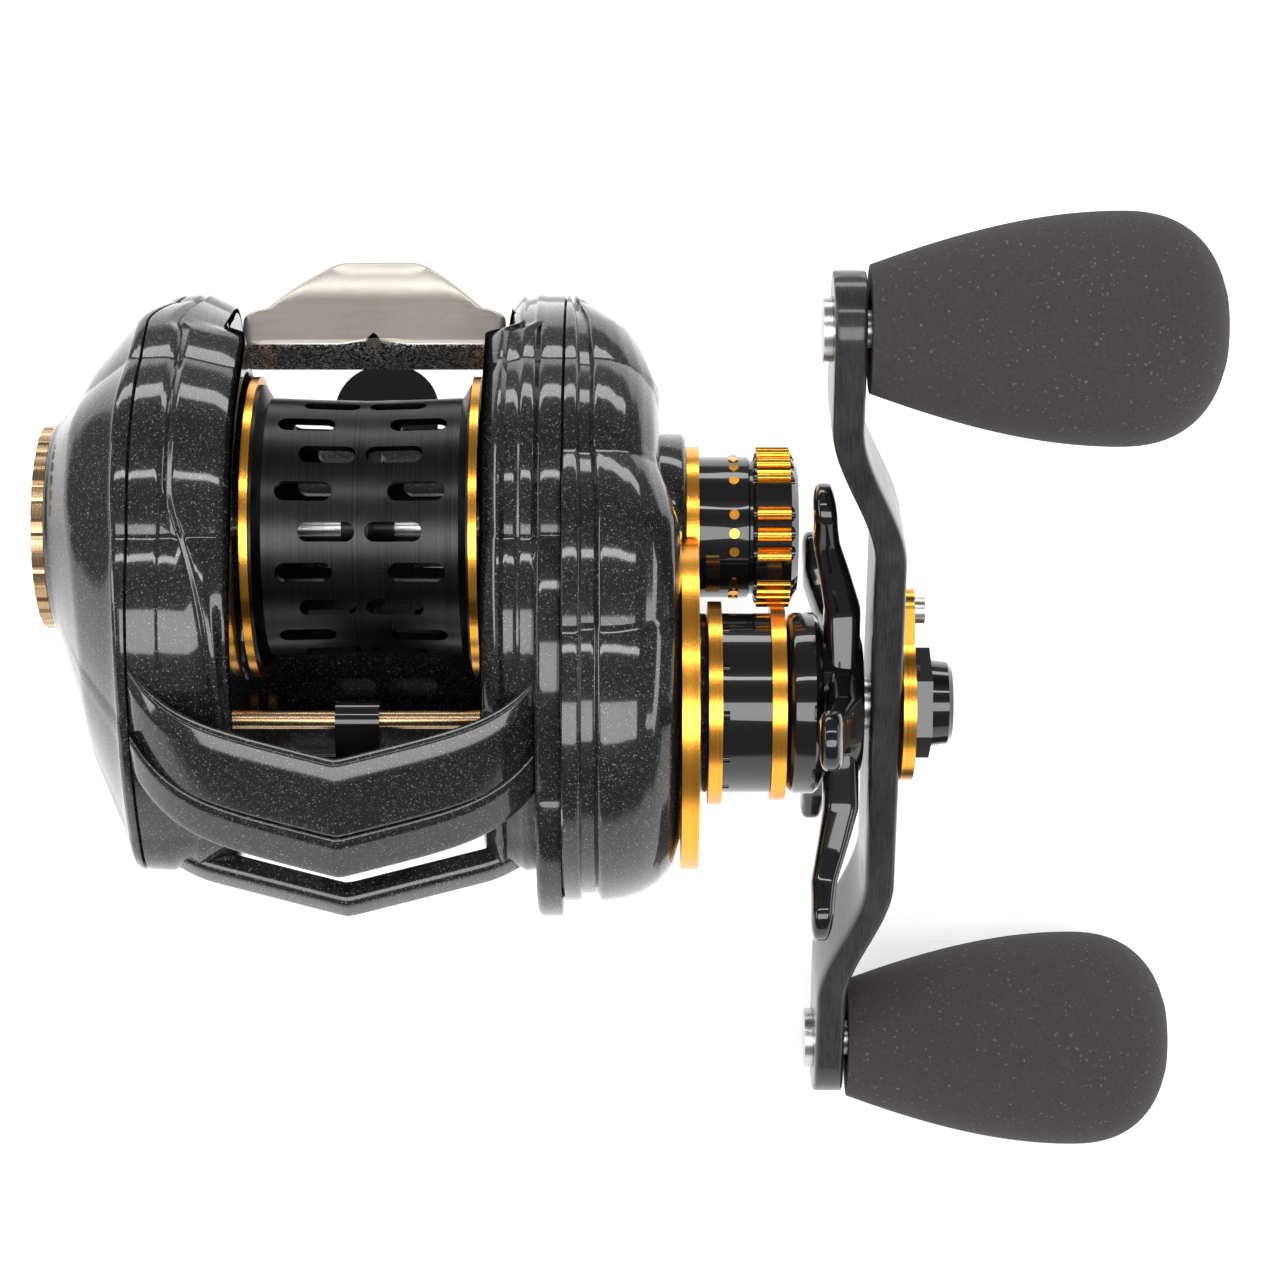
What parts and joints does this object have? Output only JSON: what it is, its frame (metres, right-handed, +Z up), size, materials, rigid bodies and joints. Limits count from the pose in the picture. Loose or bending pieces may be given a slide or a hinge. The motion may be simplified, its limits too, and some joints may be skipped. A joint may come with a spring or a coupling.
{
  "type": "baitcasting fishing reel",
  "caption": "Low-profile baitcasting fishing reel with a slotted spool, level wind, thumb-bar clutch, star drag, cast and brake controls, and a crank handle with knobs.",
  "frame": {"origin": "middle of the reel foot's seating face, straight under the spool's axis", "axes": "+X along the spool's axis towards the handle, +Y towards the angler, where the thumb bar is, +Z up from the rod"},
  "size_m": [0.1295, 0.0926, 0.0948],
  "materials": {
    "body_paint": "gloss charcoal paint with fine flake",
    "gloss_black": "gloss black",
    "spool_black": "black anodised, turned",
    "gold_anodised": "gold-orange anodised",
    "bronze_anodised": "bronze anodised",
    "steel": "brushed",
    "brass": "machined",
    "thumb_metal": "brushed warm grey",
    "black_plastic": "satin black",
    "worm_steel": "polished",
    "drag_carbon": "woven carbon",
    "carbon_laminate": "carbon laminate",
    "knob_foam": "fine-grained foam"
  },
  "bodies": {
    "chassis": {"frame": "body_paint", "reel_foot": "gloss_black", "foot_rivets": "steel", "front_cover": "body_paint", "guide_rod": "bronze_anodised", "worm_bushes": "brass", "gear_side_plate": "body_paint", "side_plate_screws": "steel", "trim_ring": "gold_anodised", "drive_bearing": "steel", "one_way_bearing": "steel", "spool_bearing": "steel", "pinion_bearing": "steel", "yoke_posts": "steel", "yoke_springs": "steel"},
    "palm_cover": {"palm_side_plate": "body_paint", "palm_bearing": "steel"},
    "dial": {"brake_dial": "gloss_black", "dial_rim": "bronze_anodised"},
    "magnets": {"magnet_carrier": "black_plastic", "brake_magnets": "steel"},
    "spool_unit": {"spool": "spool_black", "spool_rims": "gold_anodised", "spool_shaft": "steel", "spool_pin": "steel"},
    "pinion_unit": {"pinion": "brass"},
    "clutch_yoke": {"yoke": "steel"},
    "cam": {"clutch_cam": "brass"},
    "thumb": {"thumb_bar": "thumb_metal", "thumb_bar_pin": "steel"},
    "worm": {"worm_shaft": "worm_steel", "worm_gear": "black_plastic"},
    "guide": {"line_guide": "black_plastic", "guide_insert": "steel", "line_pawl": "brass", "pawl_cap": "steel"},
    "handle": {"drive_shaft": "steel", "main_gear": "brass", "drag_washers": "drag_carbon", "pressure_plate": "steel", "ratchet": "steel", "level_wind_cog": "black_plastic", "one_way_sleeve": "steel", "drag_rings": "gold_anodised", "drag_barrel": "gloss_black", "spring_washers": "steel", "handle_arm": "carbon_laminate", "handle_nut": "gloss_black", "nut_retainer": "gold_anodised", "retainer_screw": "steel", "knob_posts": "steel", "knob_bearings": "steel"},
    "star": {"star_drag": "gloss_black"},
    "cast_cap": {"cast_control_cap": "gloss_black", "cap_trim": "gold_anodised", "cap_shim": "brass"},
    "knob_rear": {"rear_knob": "knob_foam", "rear_knob_cap": "bronze_anodised"},
    "knob_front": {"front_knob": "knob_foam", "front_knob_cap": "bronze_anodised"}
  },
  "joints": [
    {"name": "handle_turn", "type": "hinge", "parent": "chassis", "child": "handle", "pos_m": [0.05, -0.02088, 0.019], "axis": [1, 0, 0], "continuous": true},
    {"name": "spool_spin", "type": "hinge", "parent": "chassis", "child": "spool_unit", "pos_m": [0, 0, 0.0205], "axis": [1, 0, 0], "continuous": true},
    {"name": "worm_spin", "type": "hinge", "parent": "chassis", "child": "worm", "pos_m": [0, -0.02725, 0.00796], "axis": [1, 0, 0], "continuous": true},
    {"name": "line_guide_travel", "type": "slide", "parent": "chassis", "child": "guide", "axis": [1, 0, 0], "range_m": [-0.009, 0.009]},
    {"name": "thumb_press", "type": "slide", "parent": "chassis", "child": "thumb", "axis": [0, 0, -1], "range_m": [0, 0.0065]},
    {"name": "cam_turn", "type": "hinge", "parent": "chassis", "child": "cam", "pos_m": [0.0179, 0, 0.0205], "axis": [1, 0, 0], "range_deg": [-17.47, 0]},
    {"name": "yoke_lift", "type": "slide", "parent": "chassis", "child": "clutch_yoke", "axis": [1, 0, 0], "range_m": [0, 0.0016]},
    {"name": "pinion_spin", "type": "hinge", "parent": "clutch_yoke", "child": "pinion_unit", "pos_m": [0.02, 0, 0.0205], "axis": [1, 0, 0], "continuous": true},
    {"name": "star_turn", "type": "hinge", "parent": "handle", "child": "star", "pos_m": [0.052, -0.02088, 0.019], "axis": [1, 0, 0], "range_deg": [-270, 270]},
    {"name": "cast_cap_turn", "type": "hinge", "parent": "chassis", "child": "cast_cap", "pos_m": [0.042, 0, 0.0205], "axis": [1, 0, 0], "range_deg": [-180, 180]},
    {"name": "side_plate_release", "type": "slide", "parent": "chassis", "child": "palm_cover", "axis": [-1, 0, 0], "range_m": [0, 0.03]},
    {"name": "brake_dial_turn", "type": "hinge", "parent": "palm_cover", "child": "dial", "pos_m": [-0.035, 0, 0.0205], "axis": [1, 0, 0], "range_deg": [0, 160]},
    {"name": "magnet_shift", "type": "slide", "parent": "palm_cover", "child": "magnets", "axis": [1, 0, 0], "range_m": [0, 0.0025]},
    {"name": "rear_knob_spin", "type": "hinge", "parent": "handle", "child": "knob_rear", "pos_m": [0.074, 0.00744, 0.05397], "axis": [1, 0, 0], "continuous": true},
    {"name": "front_knob_spin", "type": "hinge", "parent": "handle", "child": "knob_front", "pos_m": [0.074, -0.0492, -0.01597], "axis": [1, 0, 0], "continuous": true}
  ],
  "couplings": [
    {"joint": "spool_spin", "follows": "handle_turn", "ratio": -7.2727},
    {"joint": "pinion_spin", "follows": "handle_turn", "ratio": -7.2727},
    {"joint": "worm_spin", "follows": "handle_turn", "ratio": -2},
    {"joint": "cam_turn", "follows": "thumb_press", "rad_per_m": -46.108},
    {"joint": "yoke_lift", "follows": "thumb_press", "ratio": 0.24615},
    {"joint": "magnet_shift", "follows": "brake_dial_turn", "m_per_rad": 0.0008594}
  ]
}
